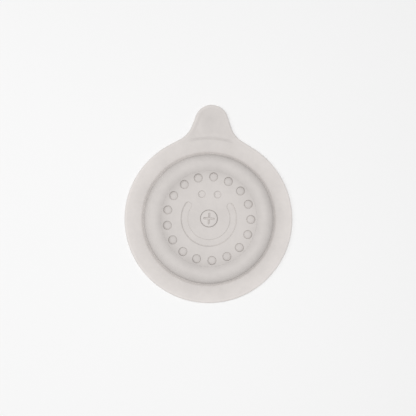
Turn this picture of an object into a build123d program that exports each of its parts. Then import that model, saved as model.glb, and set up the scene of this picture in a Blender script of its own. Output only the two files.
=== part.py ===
from build123d import *
import math
import os

# Bath drain stopper: a soft round skirt with a pull tab, and in its middle a raised bead that
# carries a firm face plate, clamped through a silicone floor by one central screw.
# Lengths are in millimetres and angles in degrees. The origin is the disc's centre on the plane
# that the stopper rests on, +Z is up and +Y points along the pull tab.

# Firm face plate
plate_radius = 35.4
plate_seam = 0.15
plate_thickness = 1.8
face_height = 6.0
face_rise_width = 5.9

# Ring of round holes in the plate
hole_count = 17
hole_inset = 4.35
hole_diameter = 6.6
hole_phase = 4.7

# Two small blind recesses above the screw
dimple_ring_radius = 18.85
dimple_diameter = 5.7
dimple_angle = 18.0
dimple_depth = 0.8

# C-shaped groove round the screw
arc_groove_radius = 18.0
arc_groove_width = 5.2
arc_groove_opening = 59.0
arc_groove_depth = 0.5

# Silicone floor under the plate
floor_thickness = 0.7

# Clamping disc below the floor
clamp_inset = 9.4
clamp_thickness = 1.1
clamp_edge_round = 0.4
boss_radius = 5.1
boss_rise = 0.3
boss_clearance = 0.1

# Screw, its sealing washer and its threaded insert
screw_head_radius = 6.2
screw_head_height = 1.0
screw_head_crown = 0.3
screw_head_round = 0.35
screw_well_radius = 6.6
screw_shank_radius = 3.0
screw_tip_gap = 0.3
screw_tip_chamfer = 0.4
cross_length = 8.4
cross_width = 1.2
cross_depth = 0.9
washer_radius = 5.8
washer_thickness = 0.5
insert_radius = 4.0
thread_clearance = 0.05
shank_clearance = 0.2

# Raised bead: from the plate's seam up to its crest, then down to the groove
bead_inner_width = 5.45
bead_half_width = 7.1
bead_height = 8.6
bead_wall = 1.6
bead_split_share = 0.84
flex_clearance = 0.2

# Groove between the bead and the skirt
groove_foot = 0.45
groove_slope = 2.4
groove_height = 1.0

# Skirt
flange_width = 13.95
flange_height = 2.0
rim_height = 2.4
rim_round = 1.6
foot_round = 0.4
land_width = 3.0
underside_height = 0.4
rib_shares = (0.333, 0.577)

# Pull tab, its webs and its thumb hollow
tab_length = 23.1
tab_tip_radius = 12.5
tab_flank_angle = 19.6
web_angle = 30.0
web_fillet = 20.0
thumb_hollow_radius = 7.6
thumb_hollow_depth = 0.75

# Crease where the tab flexes
crease_inset = 2.2
crease_angle = 18.0
crease_section = 1.2
crease_depth = 0.45
hinge_inset = 0.9
hinge_clearance = 0.3

# How far a cutting shape runs past the face that it opens
overrun = 1.0

# Sizes worked out from the ones above, from the middle outwards
seam_radius = plate_radius + plate_seam
face_flat_radius = plate_radius - face_rise_width
hole_ring_radius = plate_radius - hole_inset
clamp_radius = plate_radius - clamp_inset
bead_crest_radius = seam_radius + bead_inner_width
skirt_inner_radius = bead_crest_radius + bead_half_width + groove_foot
rim_radius = skirt_inner_radius + flange_width
rim_inner_radius = rim_radius - land_width
crease_radius = rim_radius - crease_inset
hinge_reach = rim_radius - hinge_inset
tab_reach = rim_radius + tab_length
tip_centre = tab_reach - tab_tip_radius

# Heights worked out from the ones above
bead_base_height = groove_height + groove_foot
bead_rise = bead_height - bead_base_height
bead_inner_half_width = bead_half_width - bead_wall
bead_inner_rise = bead_rise - bead_wall
bead_split_height = bead_base_height + bead_split_share * bead_inner_rise
seam_share = (seam_radius - face_flat_radius) / (bead_crest_radius - face_flat_radius)
seam_height = face_height + seam_share * (bead_height - face_height)
plate_base = face_height - plate_thickness
floor_base = plate_base - floor_thickness
clamp_base = floor_base - clamp_thickness
boss_top = plate_base + boss_rise
head_base = face_height + screw_head_crown + screw_head_round - screw_head_height
well_floor = head_base - washer_thickness


def turned(*edges):
    """A round piece: its closed section in the radius and height plane, turned about the axis."""
    section = make_face(list(edges))
    return revolve(Plane.XZ * section, Axis.Z)


def tube(outer, inner, base, top):
    """A plain ring between two radii and two heights."""
    middle = (base + top) / 2
    return Pos(0, 0, middle) * (Cylinder(outer, top - base) - Cylinder(inner, top - base))


def disc(radius, base, top):
    """A plain disc between two heights."""
    return Pos(0, 0, (base + top) / 2) * Cylinder(radius, top - base)


def flank_angle(rise, height):
    """The angle from level at which the bead's elliptical flank reaches a height."""
    return math.degrees(math.asin((height - bead_base_height) / rise))


def flank_point(half_width, rise, angle):
    """A point on the bead's elliptical flank, at an angle from level."""
    turn = math.radians(angle)
    across = bead_crest_radius + half_width * math.cos(turn)
    return (across, bead_base_height + rise * math.sin(turn))


def flank_arc(half_width, rise, start, end):
    """A stretch of the bead's elliptical flank."""
    centre = (bead_crest_radius, bead_base_height)
    return EllipticalCenterArc(centre, half_width, rise, start_angle=start, arc_size=end - start)


def around(radius, angle):
    """A place on a circle, at an angle clockwise from the tab when seen from above."""
    turn = math.radians(angle)
    return (radius * math.sin(turn), radius * math.cos(turn))


def plan_outline():
    """The stopper seen from above: the round rim, the two webs and the tab."""
    flank = math.radians(tab_flank_angle)
    web = math.radians(web_angle)
    tip_point = (tab_tip_radius * math.cos(flank), tip_centre + tab_tip_radius * math.sin(flank))
    web_point = around(rim_radius, web_angle)
    # The web leaves the rim along its tangent, and meets the tab's flank at the corner.
    gap_across = web_point[0] - tip_point[0]
    gap_along = tip_point[1] - web_point[1]
    turn = math.cos(web) * math.cos(flank) - math.sin(web) * math.sin(flank)
    web_run = (gap_across * math.cos(flank) - gap_along * math.sin(flank)) / turn
    corner = (web_point[0] - web_run * math.cos(web), web_point[1] + web_run * math.sin(web))
    right = [web_point, corner, tip_point]
    left = [(-across, along) for across, along in reversed(right)]
    plan = Circle(rim_radius) + Polygon(*right, *left, align=None)
    plan += Pos(0, tip_centre) * Circle(tab_tip_radius)
    corners = [
        plan.vertices().sort_by_distance((side * corner[0], corner[1], 0))[0] for side in (1, -1)
    ]
    return fillet(corners, web_fillet)


def rounded_slab():
    """The whole outline at the rim's height, with its top edge and its foot rounded."""
    slab = extrude(plan_outline(), rim_height)
    slab = fillet(slab.faces().sort_by(Axis.Z)[-1].edges(), rim_round)
    return fillet(slab.faces().sort_by(Axis.Z)[0].edges(), foot_round)


def beyond_hinge(reach):
    """A block that takes in all of the stopper past a straight line across the tab's root."""
    size = 2 * tab_reach
    return Pos(0, reach + size / 2, 0) * Box(size, size, size)


def crease_cutter():
    """A round-bottomed groove along the crease, with round ends."""
    height = rim_height + crease_section - crease_depth
    wire = Pos(crease_radius, height) * Circle(crease_section)
    bow = revolve(Plane.XZ * wire, Axis.Z, revolution_arc=2 * crease_angle)
    cutter = Rot(0, 0, 90 - crease_angle) * bow
    for side in (1, -1):
        across, along = around(crease_radius, side * crease_angle)
        cutter += Pos(across, along, height) * Sphere(crease_section)
    return cutter


def make_sealing_flange():
    """The flat skirt that seals on the tub: groove, flange, rim, ribs and the tab's webs."""
    groove_edge = (skirt_inner_radius, groove_height)
    flange_edge = (skirt_inner_radius + groove_slope, flange_height)
    bend = tuple((low + high) / 2 for low, high in zip(groove_edge, flange_edge))
    underside_edge = (rim_inner_radius - underside_height, underside_height)
    flange = turned(
        Line((skirt_inner_radius, underside_height), groove_edge),
        TangentArc(groove_edge, bend, tangent=(1, 0)),
        TangentArc(flange_edge, bend, tangent=(-1, 0)),
        Line(flange_edge, (rim_inner_radius, rim_height)),
        Line((rim_inner_radius, rim_height), (rim_inner_radius, 0)),
        Line((rim_inner_radius, 0), underside_edge),
        Line(underside_edge, (skirt_inner_radius, underside_height)),
    )
    flange += rounded_slab() - Cylinder(rim_inner_radius, 2 * tab_reach)
    for share in rib_shares:
        radius = skirt_inner_radius + share * flange_width
        flange += Pos(0, 0, underside_height) * Torus(radius, underside_height)
    return flange - crease_cutter() - beyond_hinge(hinge_reach)


def make_pull_tab():
    """The tab past the crease, with rounded edges and a thumb hollow."""
    tab = rounded_slab() & beyond_hinge(hinge_reach + hinge_clearance)
    hollow_radius = (thumb_hollow_radius**2 + thumb_hollow_depth**2) / (2 * thumb_hollow_depth)
    hollow_height = rim_height - thumb_hollow_depth + hollow_radius
    return tab - Pos(0, tip_centre, hollow_height) * Sphere(hollow_radius)


def make_flex_web():
    """The thin outer wall of the bead, which flexes when the middle is pressed."""
    foot = (skirt_inner_radius, groove_height)
    knee = flank_point(bead_half_width, bead_rise, 0)
    outer_angle = flank_angle(bead_rise, bead_split_height)
    inner_angle = flank_angle(bead_inner_rise, bead_split_height)
    outer_top = flank_point(bead_half_width, bead_rise, outer_angle)
    inner_top = flank_point(bead_inner_half_width, bead_inner_rise, inner_angle)
    inner_knee = flank_point(bead_inner_half_width, bead_inner_rise, 0)
    inner_foot = (inner_knee[0], underside_height)
    return turned(
        Line((skirt_inner_radius, underside_height), foot),
        TangentArc(foot, knee, tangent=(-1, 0)),
        flank_arc(bead_half_width, bead_rise, 0, outer_angle),
        Line(outer_top, inner_top),
        flank_arc(bead_inner_half_width, bead_inner_rise, 0, inner_angle),
        Line(inner_knee, inner_foot),
        Line(inner_foot, (skirt_inner_radius, underside_height)),
    )


def make_bead_ring():
    """The raised bead's crown and inner slope, with the leg that holds the plate and the floor."""
    split_height = bead_split_height + flex_clearance
    outer_angle = flank_angle(bead_rise, split_height)
    inner_angle = flank_angle(bead_inner_rise, split_height)
    crest = flank_point(bead_half_width, bead_rise, 90)
    inner_crest = flank_point(bead_inner_half_width, bead_inner_rise, 90)
    leg_radius = seam_radius + bead_wall
    leg_top = (leg_radius, seam_height - bead_wall)
    return turned(
        flank_arc(bead_half_width, bead_rise, outer_angle, 90),
        TangentArc(crest, (seam_radius, seam_height), tangent=(-1, 0)),
        Line((seam_radius, seam_height), (seam_radius, floor_base)),
        Line((seam_radius, floor_base), (leg_radius, floor_base)),
        Line((leg_radius, floor_base), leg_top),
        Line(leg_top, inner_crest),
        flank_arc(bead_inner_half_width, bead_inner_rise, inner_angle, 90),
        Line(
            flank_point(bead_inner_half_width, bead_inner_rise, inner_angle),
            flank_point(bead_half_width, bead_rise, outer_angle),
        ),
    )


def make_face_plate():
    """The firm plate: a flat middle, a rising rim, the holes, the dimples and the C groove."""
    plate = turned(
        Line((0, plate_base), (plate_radius, plate_base)),
        Line((plate_radius, plate_base), (plate_radius, seam_height)),
        TangentArc((face_flat_radius, face_height), (plate_radius, seam_height), tangent=(1, 0)),
        Line((face_flat_radius, face_height), (0, face_height)),
        Line((0, face_height), (0, plate_base)),
    )
    for number in range(hole_count):
        across, along = around(hole_ring_radius, hole_phase + number * 360 / hole_count)
        plate -= Pos(across, along, 0) * Cylinder(hole_diameter / 2, 2 * bead_height)
    for side in (1, -1):
        across, along = around(dimple_ring_radius, side * dimple_angle)
        top = face_height + overrun
        plate -= Pos(across, along, 0) * disc(dimple_diameter / 2, face_height - dimple_depth, top)
    middle_line = CenterArc(
        (0, 0), arc_groove_radius, 90 + arc_groove_opening, 360 - 2 * arc_groove_opening
    )
    groove = SlotArc(middle_line, arc_groove_width)
    plate -= Pos(0, 0, face_height - arc_groove_depth) * extrude(groove, arc_groove_depth + overrun)
    plate -= disc(screw_well_radius, well_floor, face_height + overrun)
    plate -= disc(boss_radius + boss_clearance, plate_base - overrun, boss_top)
    return plate - Cylinder(screw_shank_radius + shank_clearance, 2 * bead_height)


def make_silicone_floor():
    """The closed silicone floor that seals behind the holes of the plate."""
    return tube(seam_radius, boss_radius + boss_clearance, floor_base, plate_base)


def make_clamp_disc():
    """The disc that clamps the floor against the plate, with a boss for the insert."""
    plate = fillet(disc(clamp_radius, clamp_base, floor_base).edges(), clamp_edge_round)
    plate += disc(boss_radius, clamp_base, boss_top)
    return plate - Cylinder(insert_radius, 2 * bead_height)


def make_threaded_insert():
    """The brass insert in the clamping disc's boss."""
    bore = screw_shank_radius + thread_clearance
    return tube(insert_radius, bore, clamp_base, boss_top)


def make_sealing_washer():
    """The rubber washer under the screw's head."""
    hole = screw_shank_radius + shank_clearance
    return tube(washer_radius, hole, well_floor, head_base)


def make_centre_screw():
    """The cross-recessed screw that holds the middle together."""
    shoulder = head_base + screw_head_height - screw_head_round
    tip = clamp_base + screw_tip_gap
    crown = (0, shoulder + screw_head_round + screw_head_crown)
    edge_top = (screw_head_radius - screw_head_round, shoulder + screw_head_round)
    screw = turned(
        Line((0, tip), (screw_shank_radius - screw_tip_chamfer, tip)),
        Line(
            (screw_shank_radius - screw_tip_chamfer, tip),
            (screw_shank_radius, tip + screw_tip_chamfer),
        ),
        Line((screw_shank_radius, tip + screw_tip_chamfer), (screw_shank_radius, head_base)),
        Line((screw_shank_radius, head_base), (screw_head_radius, head_base)),
        Line((screw_head_radius, head_base), (screw_head_radius, shoulder)),
        TangentArc((screw_head_radius, shoulder), edge_top, tangent=(0, 1)),
        TangentArc(crown, edge_top, tangent=(1, 0)),
        Line(crown, (0, tip)),
    )
    cross = Rectangle(cross_length, cross_width) + Rectangle(cross_width, cross_length)
    cutter = Pos(0, 0, crown[1] - cross_depth) * extrude(cross, cross_depth + overrun)
    return screw - cutter


pieces = {
    "sealing_flange": make_sealing_flange,
    "pull_tab": make_pull_tab,
    "flex_web": make_flex_web,
    "bead_ring": make_bead_ring,
    "face_plate": make_face_plate,
    "silicone_floor": make_silicone_floor,
    "clamp_disc": make_clamp_disc,
    "threaded_insert": make_threaded_insert,
    "sealing_washer": make_sealing_washer,
    "centre_screw": make_centre_screw,
}

os.makedirs("parts", exist_ok=True)
for name, make_piece in pieces.items():
    export_step(make_piece(), f"parts/{name}.step")
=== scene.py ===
import math

import bmesh
import bpy
from bpy.props import FloatProperty, FloatVectorProperty, IntProperty, PointerProperty
from mathutils import Matrix, Vector


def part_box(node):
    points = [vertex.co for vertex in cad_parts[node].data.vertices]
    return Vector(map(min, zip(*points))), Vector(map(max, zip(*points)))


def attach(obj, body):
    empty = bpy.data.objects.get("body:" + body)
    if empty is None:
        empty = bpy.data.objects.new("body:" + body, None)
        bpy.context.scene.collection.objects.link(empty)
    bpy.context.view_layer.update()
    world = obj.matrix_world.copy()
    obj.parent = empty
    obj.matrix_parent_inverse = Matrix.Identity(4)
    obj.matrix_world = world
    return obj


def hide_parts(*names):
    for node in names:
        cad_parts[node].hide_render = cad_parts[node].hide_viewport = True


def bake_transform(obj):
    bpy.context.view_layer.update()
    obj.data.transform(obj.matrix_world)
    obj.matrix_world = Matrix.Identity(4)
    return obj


bl_info = {
    "name": "Drain Stopper",
    "version": (1, 0, 0),
    "blender": (4, 5, 0),
    "location": "3D View > Sidebar > Stopper",
    "description": "Dresses a bath drain stopper: its silicone, face plate, screw and finishes",
    "category": "Add Mesh",
}

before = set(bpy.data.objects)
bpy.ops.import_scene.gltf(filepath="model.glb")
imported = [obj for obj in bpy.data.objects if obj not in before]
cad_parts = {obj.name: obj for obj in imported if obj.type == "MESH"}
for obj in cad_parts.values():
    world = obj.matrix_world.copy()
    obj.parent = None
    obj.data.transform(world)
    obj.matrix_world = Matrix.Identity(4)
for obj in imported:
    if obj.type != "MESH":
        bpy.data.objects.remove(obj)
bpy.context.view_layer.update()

# Lengths are in metres. The origin is the disc's centre on the floor, and +Y points along the tab.
MM = 0.001
MERGE_DISTANCE = 0.001 * MM
SHARP_ANGLE = math.radians(38)

# Steps in a full turn of what is turned, and of the plate's seam, the screw's head and the holes
TURN_STEPS = 360
SEAM_STEPS = 240
HEAD_STEPS = 96
HOLE_STEPS = 48

# Steps along the C-shaped groove and round each of its ends
GROOVE_STEPS = 120
GROOVE_END_STEPS = 16

# Steps round the upper and lower edge that the rim shares with the tab, up the bead's flank,
# and round the smallest edges
RIM_STEPS = 10
FOOT_STEPS = 4
FLANK_STEPS = 24
EDGE_STEPS = 4

# Gap that the packed web and bead leave between them. The dressed ones meet in its middle.
SPLIT_GAP = 0.2 * MM

# Size of a stud's or a small recess's flat middle, as a share of its radius
CAP_SHARE = 0.1

# Power of the crease's flanks: above 1, they are steepest at its bottom
CREASE_POWER = 1.5


def off_axis(point):
    """How far a point lies from the drain's axis."""
    return math.hypot(point[0], point[1])


def node_points(node):
    """The surface points of a packed node."""
    return [vertex.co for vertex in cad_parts[node].data.vertices]


def radii(node, wanted=lambda point: True):
    """How far the wanted points of a packed node lie from the drain's axis."""
    return [off_axis(point) for point in node_points(node) if wanted(point)]


def top_of(node):
    """The height of a packed node's highest point."""
    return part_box(node)[1].z


def base_of(node):
    """The height of a packed node's lowest point."""
    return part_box(node)[0].z


# Sizes that the packed pieces already have
rim_radius = max(radii("sealing_flange", lambda point: point.y < 0))
groove_radius = min(radii("sealing_flange"))
groove_edge = groove_radius + MERGE_DISTANCE
groove_height = max(point.z for point in node_points("sealing_flange") if off_axis(point) < groove_edge)
underside_height = base_of("flex_web")
crest_height = top_of("bead_ring")
crest_radius = min(radii("bead_ring", lambda point: point.z > crest_height - MERGE_DISTANCE))
web_inner_radius = min(radii("flex_web", lambda point: point.z < underside_height + MERGE_DISTANCE))
split_height = top_of("flex_web") + SPLIT_GAP / 2
seam_radius = min(radii("bead_ring"))
plate_radius = max(radii("face_plate"))
plate_base = base_of("face_plate")
boss_radius = max(radii("clamp_disc", lambda point: point.z > plate_base))
insert_radius = max(radii("threaded_insert"))
hinge_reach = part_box("sealing_flange")[1].y
tab_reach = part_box("pull_tab")[1].y


def length(name, description, default):
    """A length that a user may change, in metres."""
    return FloatProperty(
        name=name, description=description, default=default, unit="LENGTH", precision=5
    )


def angle(name, description, degrees):
    """An angle that a user may change."""
    default = math.radians(degrees)
    return FloatProperty(name=name, description=description, default=default, subtype="ANGLE")


def share(name, description, default):
    """A part of a whole that a user may change, from 0 to 1."""
    return FloatProperty(
        name=name, description=description, default=default, min=0, max=1, subtype="FACTOR"
    )


def colour(name, description, default):
    """A linear colour that a user may change."""
    return FloatVectorProperty(
        name=name, description=description, default=default, subtype="COLOR", size=3, min=0, max=1
    )


class SkirtSizes(bpy.types.PropertyGroup):
    """The flat skirt that seals on the tub, and the groove inside it."""

    groove_slope: length("Groove slope", "Width of the slope from groove to flange", 2.4 * MM)
    slope_middle: share("Slope middle", "Place of the slope's steepest point", 0.25)
    groove_foot: length("Groove foot", "Fillet where the bead meets the groove", 0.45 * MM)
    flange_height: length("Flange height", "Height of the flange beside the groove", 2.0 * MM)
    rim_round: length("Rim round", "Rounding of the rim's top edge", 1.6 * MM)
    foot_round: length("Foot round", "Rounding of the rim's lower edge", 0.4 * MM)
    land_width: length("Land width", "Width of the sealing land under the rim", 3.0 * MM)
    first_rib: share("First rib", "Place of the inner rib across the flange", 0.333)
    second_rib: share("Second rib", "Place of the outer rib across the flange", 0.577)
    fine_zone: length("Fine zone", "Band inside the rim that follows the tab's webs", 4.5 * MM)


class TabSizes(bpy.types.PropertyGroup):
    """The pull tab, its webs, its crease and its thumb hollow."""

    tip_radius: length("Tip radius", "Radius of the round end", 12.5 * MM)
    flank_angle: angle("Flank angle", "Lean of the tab's sides", 19.6)
    web_angle: angle("Web angle", "Where the webs leave the rim, from the tab's line", 30)
    web_fillet: length("Web fillet", "Radius between web and flank", 20.0 * MM)
    crease_inset: length("Crease inset", "Distance of the crease from the rim", 2.2 * MM)
    crease_angle: angle("Crease angle", "How far the crease runs to each side", 16)
    crease_fade: angle("Crease fade", "Stretch in which the crease dies out", 5)
    crease_half_width: length("Crease half width", "Half of the crease's width", 1.6 * MM)
    crease_depth: length("Crease depth", "Depth of the crease", 0.55 * MM)
    lip_width: length("Lip width", "Width of the slope inside the tab's lip", 2.6 * MM)
    lip_depth: length("Lip depth", "How far the tab lies below its lip", 0.5 * MM)
    hollow_radius: length("Hollow radius", "Radius of the thumb hollow", 9.5 * MM)
    hollow_depth: length("Hollow depth", "Depth of the thumb hollow", 0.8 * MM)
    root_fade: length("Root fade", "Stretch past the crease in which the lip begins", 6.0 * MM)
    grid: length("Grid", "Width of the tab's grid cells", 0.5 * MM)
    bend_length: length("Bend length", "Stretch of the tab that bends when it is pulled", 2.6 * MM)


class BeadSizes(bpy.types.PropertyGroup):
    """The raised bead and its walls."""

    wall: length("Wall", "Thickness of the silicone", 1.6 * MM)
    seam_round: length("Seam round", "Rounding of the edges at the plate's seam", 0.04 * MM)


class PlateSizes(bpy.types.PropertyGroup):
    """The firm face plate with its holes, recesses and groove."""

    face_height: length("Face height", "Height of the plate's flat middle", 6.0 * MM)
    rise_width: length("Rise width", "Width of the plate's rising rim", 5.9 * MM)
    rise_middle: share("Rise middle", "Place of the steepest point between flat and crest", 0.56)
    seam_gap: length("Seam gap", "Gap between the plate and the silicone round it", 0.02 * MM)
    hole_count: IntProperty(name="Holes", description="Number of round holes", default=17, min=3)
    hole_inset: length("Hole inset", "Distance of the holes' ring from the plate's edge", 4.35 * MM)
    hole_radius: length("Hole radius", "Radius of each hole", 3.15 * MM)
    hole_phase: angle("Hole phase", "Turn of the first hole from the tab's line", 4.7)
    hole_round: length("Hole round", "Rounding of the holes' edges", 0.3 * MM)
    dimple_ring: length("Dimple ring", "Distance of the two recesses from the axis", 18.85 * MM)
    dimple_radius: length("Dimple radius", "Radius of each small recess", 2.65 * MM)
    dimple_angle: angle("Dimple angle", "Turn of each small recess from the tab's line", 18)
    dimple_depth: length("Dimple depth", "Depth of each small recess", 1.2 * MM)
    dimple_middle: share("Dimple middle", "Depth of a recess's middle, as a share", 0.45)
    groove_ring: length("Groove ring", "Radius of the C-shaped groove's middle line", 18.15 * MM)
    groove_width: length("Groove width", "Width of the C-shaped groove", 4.9 * MM)
    groove_opening: angle("Groove opening", "Half of the groove's opening", 59)
    groove_depth: length("Groove depth", "Depth of the C-shaped groove", 0.5 * MM)
    line_width: length("Line width", "Width of the fine line along the groove's outside", 0.9 * MM)
    line_depth: length("Line depth", "Depth of the fine line below the groove", 0.3 * MM)
    groove_round: length("Groove round", "Rounding of the C-shaped groove's edges", 0.45 * MM)
    well_radius: length("Well radius", "Radius of the screw's well", 6.29 * MM)
    well_round: length("Well round", "Rounding of the well's edge", 0.55 * MM)
    boss_clearance: length("Boss clearance", "Gap round the clamping disc's boss", 0.1 * MM)
    grid: length("Grid", "Width of the plate's grid cells", 0.6 * MM)


class FloorSizes(bpy.types.PropertyGroup):
    """The silicone floor below the plate, with a low stud in each hole."""

    stud_clearance: length("Stud clearance", "Gap between a stud and its hole", 0.02 * MM)
    stud_drop: length("Stud drop", "Depth of a stud's edge below the plate's flat face", 0.95 * MM)
    stud_crown: length("Stud crown", "Rise of a stud's middle above its edge", 0.6 * MM)


class FastenerSizes(bpy.types.PropertyGroup):
    """The screw, its washer, its insert and the clamping disc."""

    head_height: length("Head height", "Height of the screw's head at its edge", 1.0 * MM)
    head_round: length("Head round", "Rounding of the head's edge", 0.6 * MM)
    head_crown: length("Head crown", "Rise of the head's middle", 0.5 * MM)
    shank_radius: length("Shank radius", "Radius of the screw's thread", 3.0 * MM)
    thread_depth: length("Thread depth", "Depth of the thread", 0.35 * MM)
    thread_pitch: length("Thread pitch", "Pitch of the thread", 0.6 * MM)
    tip_chamfer: length("Tip chamfer", "Chamfer at the screw's end", 0.4 * MM)
    cross_reach: length("Cross reach", "Half of the cross recess's length", 4.2 * MM)
    cross_half_width: length("Cross half width", "Half of the cross's arm width", 0.66 * MM)
    cross_depth: length("Cross depth", "Depth of the cross recess", 0.9 * MM)
    cross_turn: angle("Cross turn", "Turn of the cross", -2.5)
    cross_round: length("Cross round", "Rounding of the cross's edges", 0.08 * MM)
    middle_taper: share("Middle taper", "How much narrower the cross is at half depth", 0.1)
    floor_taper: share("Floor taper", "How much narrower the cross is at its floor", 0.25)
    edge_round: length("Edge round", "Rounding of the disc's and washer's edges", 0.15 * MM)
    grid: length("Grid", "Width of the head's grid cells", 0.35 * MM)


class StopperLook(bpy.types.PropertyGroup):
    """The colours and grain of the stopper's finishes, and their painted light and shade."""

    silicone: colour("Silicone", "Colour of the silicone", (0.59, 0.557, 0.538))
    plate: colour("Plate", "Colour of the face plate", (0.585, 0.551, 0.531))
    screw: colour("Screw", "Colour of the screw", (0.6, 0.566, 0.546))
    brass: colour("Brass", "Colour of the insert", (0.72, 0.52, 0.23))
    silicone_roughness: share("Silicone roughness", "Roughness of the silicone", 0.62)
    plate_roughness: share("Plate roughness", "Roughness of the plate", 0.5)
    mottle: share("Mottle", "Strength of the broad changes of tone", 0.035)
    grain_depth: length("Grain depth", "Depth of the moulded grain", 0.012 * MM)
    # Painted light: the outer rim is made lighter, and the tab a share of that, in place of light
    # shining through the thin silicone
    rim_painted_light: share("Rim glow", "How much lighter the painted light makes the rim than the middle", 0.12)
    painted_light_start: length("Glow start", "Distance from the axis at which the glow begins", 46 * MM)
    tab_painted_light: share("Tab glow", "Share of the rim's glow that the tab has", 0.3)
    # Painted highlight along the rounded outer edge of the rim and the tab
    edge_painted_highlight: share("Edge glow", "How much lighter the rounded edge of the rim is", 0.15)
    edge_width: length("Edge width", "Width of the light edge", 2.4 * MM)
    # Painted shade in the tab's thumb hollow
    hollow_painted_shade: share("Hollow shade", "How much darker the painted shade makes the thumb hollow", 0.05)
    hollow_shade_place: length("Thumb place", "Distance of the hollow's painted shade from the axis", 74 * MM)
    hollow_shade_spread: length("Thumb spread", "Radius of the hollow's painted shade", 12 * MM)
    # Painted shade along the crease at the tab's root
    crease_painted_shade: share("Crease shade", "How much darker the crease is", 0.07)
    crease_side: length("Crease side", "How far the dark crease runs to each side", 19 * MM)
    crease_spread: length("Crease spread", "How far the crease's tint spreads", 1.6 * MM)
    # Painted shade in the dish's low ring, where the plate rises towards the bead's crest
    dish_painted_shade: share("Dish shade", "How much darker the dish's lowest ring is", 0.055)
    dish_start: length("Dish start", "Distance from the axis at which the tint begins", 22 * MM)
    # Painted shade along the bottom of the groove round the bead
    groove_painted_shade: share("Groove shade", "How much darker the groove is", 0.11)
    groove_spread: length("Groove spread", "How far the groove's tint spreads", 0.9 * MM)


class StageSettings(bpy.types.PropertyGroup):
    """The floor, the lights and the camera."""

    camera_place: FloatVectorProperty(
        name="Camera place",
        description="Place of the camera, almost straight above the stopper",
        default=(-18.7 * MM, -23.2 * MM, 596.7 * MM),
        size=3,
        unit="LENGTH",
    )
    camera_turn: FloatVectorProperty(
        name="Camera turn",
        description="Pitch, yaw and roll of the camera from straight down",
        default=(math.radians(3.0), math.radians(-1.72), math.radians(1.87)),
        size=3,
        subtype="EULER",
    )
    focal_length: FloatProperty(
        name="Focal length", description="Lens in millimetres on a 36 mm sensor", default=69.23
    )
    floor_size: length("Floor size", "Width of the floor", 6.0)
    floor_colour: colour("Floor colour", "Colour of the plain floor", (0.85, 0.85, 0.85))
    sky: share("Sky", "Strength of the light from all round", 0.475)
    key_power: FloatProperty(name="Key power", description="Light from the left in watts", default=2.1)
    key_bearing: angle("Key bearing", "Bearing of the key light from the tab's line", -88)
    key_height: angle("Key height", "Height of the key light above level", 40)
    key_distance: length("Key distance", "Distance of the key light", 1.2)
    key_size: length("Key size", "Width of the key light", 0.6)
    top_power: FloatProperty(name="Top power", description="Overhead light in watts", default=10.2)
    top_distance: length("Top distance", "Height of the overhead light", 1.3)
    top_size: length("Top size", "Width of the overhead light", 1.0)


def spaced(start, end, count):
    """Evenly spaced values from start to end, with both ends."""
    return [start + (end - start) * step / count for step in range(count + 1)]


def flat_share(value, low, high):
    """How far a value has come from low to high, kept from 0 to 1."""
    return min(max((value - low) / (high - low), 0.0), 1.0)


def eased(value, middle=0.5):
    """An S-curve from 0 to 1, level at both ends: two parabolas, steepest where they meet."""
    value = flat_share(value, 0, 1)
    if value < middle:
        return value**2 / middle
    return 1 - (1 - value) ** 2 / (1 - middle)


def arc(across, up, half_width, rise, start, end, count):
    """Points of a section along an ellipse, between two angles in degrees from level."""
    turns = [math.radians(turn) for turn in spaced(start, end, count)]
    return [(across + half_width * math.cos(turn), up + rise * math.sin(turn)) for turn in turns]


def bearing(turn, distance=1.0):
    """The place at an angle clockwise from the tab's line, seen from above."""
    return Vector((math.sin(turn) * distance, math.cos(turn) * distance))


def edge_rounding(size, height, count=5):
    """Growth and height of the loops that round a top edge, from its level face to its wall."""
    turns = [math.radians(turn) for turn in spaced(0, 90, count)]
    return [(size * (1 - math.sin(turn)), height - size * (1 - math.cos(turn))) for turn in turns]


def hole_edge(radius, size, height):
    """Radius and height of the circles that round a hole's top edge."""
    return [(radius + growth, level) for growth, level in edge_rounding(size, height)]


def disc_edge(radius, size, height, count=5):
    """Radius and height of the circles that round a disc's top edge."""
    return [(radius - growth, level) for growth, level in edge_rounding(size, height, count)]


def linked(name, data):
    """A new object in the scene for a mesh, a light or a camera."""
    made = bpy.data.objects.new(name, data)
    bpy.context.scene.collection.objects.link(made)
    return made


def linked_mesh(bm, name, material):
    """Puts a mesh with one finish in the scene."""
    mesh = bpy.data.meshes.new(name)
    bm.to_mesh(mesh)
    bm.free()
    mesh.materials.append(material)
    return linked(name, mesh)


def finished(bm, name, material):
    """Turns a closed mesh into a piece: smooth faces, sharp edges and its finish."""
    bmesh.ops.remove_doubles(bm, verts=bm.verts, dist=MERGE_DISTANCE)
    bmesh.ops.recalc_face_normals(bm, faces=bm.faces)
    open_edges = [edge for edge in bm.edges if not edge.is_manifold]
    if open_edges:
        where = open_edges[0].verts[0].co
        raise RuntimeError(f"{name} has {len(open_edges)} open edges, one of them at {where}")
    for face in bm.faces:
        face.smooth = True
    for edge in bm.edges:
        edge.smooth = edge.calc_face_angle() < SHARP_ANGLE
    piece = linked_mesh(bm, name, material)
    even = piece.modifiers.new("Even shading", "WEIGHTED_NORMAL")
    even.keep_sharp = True
    return piece


def spun(bm, geometry, turn, steps, centre=(0, 0, 0), **options):
    """Spins part of a mesh about an upright line, and gives what the operator says."""
    return bmesh.ops.spin(
        bm, geom=geometry, cent=centre, axis=(0, 0, 1), angle=turn, steps=steps, **options
    )


def turned(section):
    """A mesh made by turning a closed section, in radius and height, about the drain's axis."""
    bm = bmesh.new()
    corners = [bm.verts.new((across, 0, up)) for across, up in section]
    edges = [bm.edges.new(pair) for pair in zip(corners, corners[1:] + corners[:1])]
    spun(bm, corners + edges, math.tau, TURN_STEPS, use_merge=True)
    return bm


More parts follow.
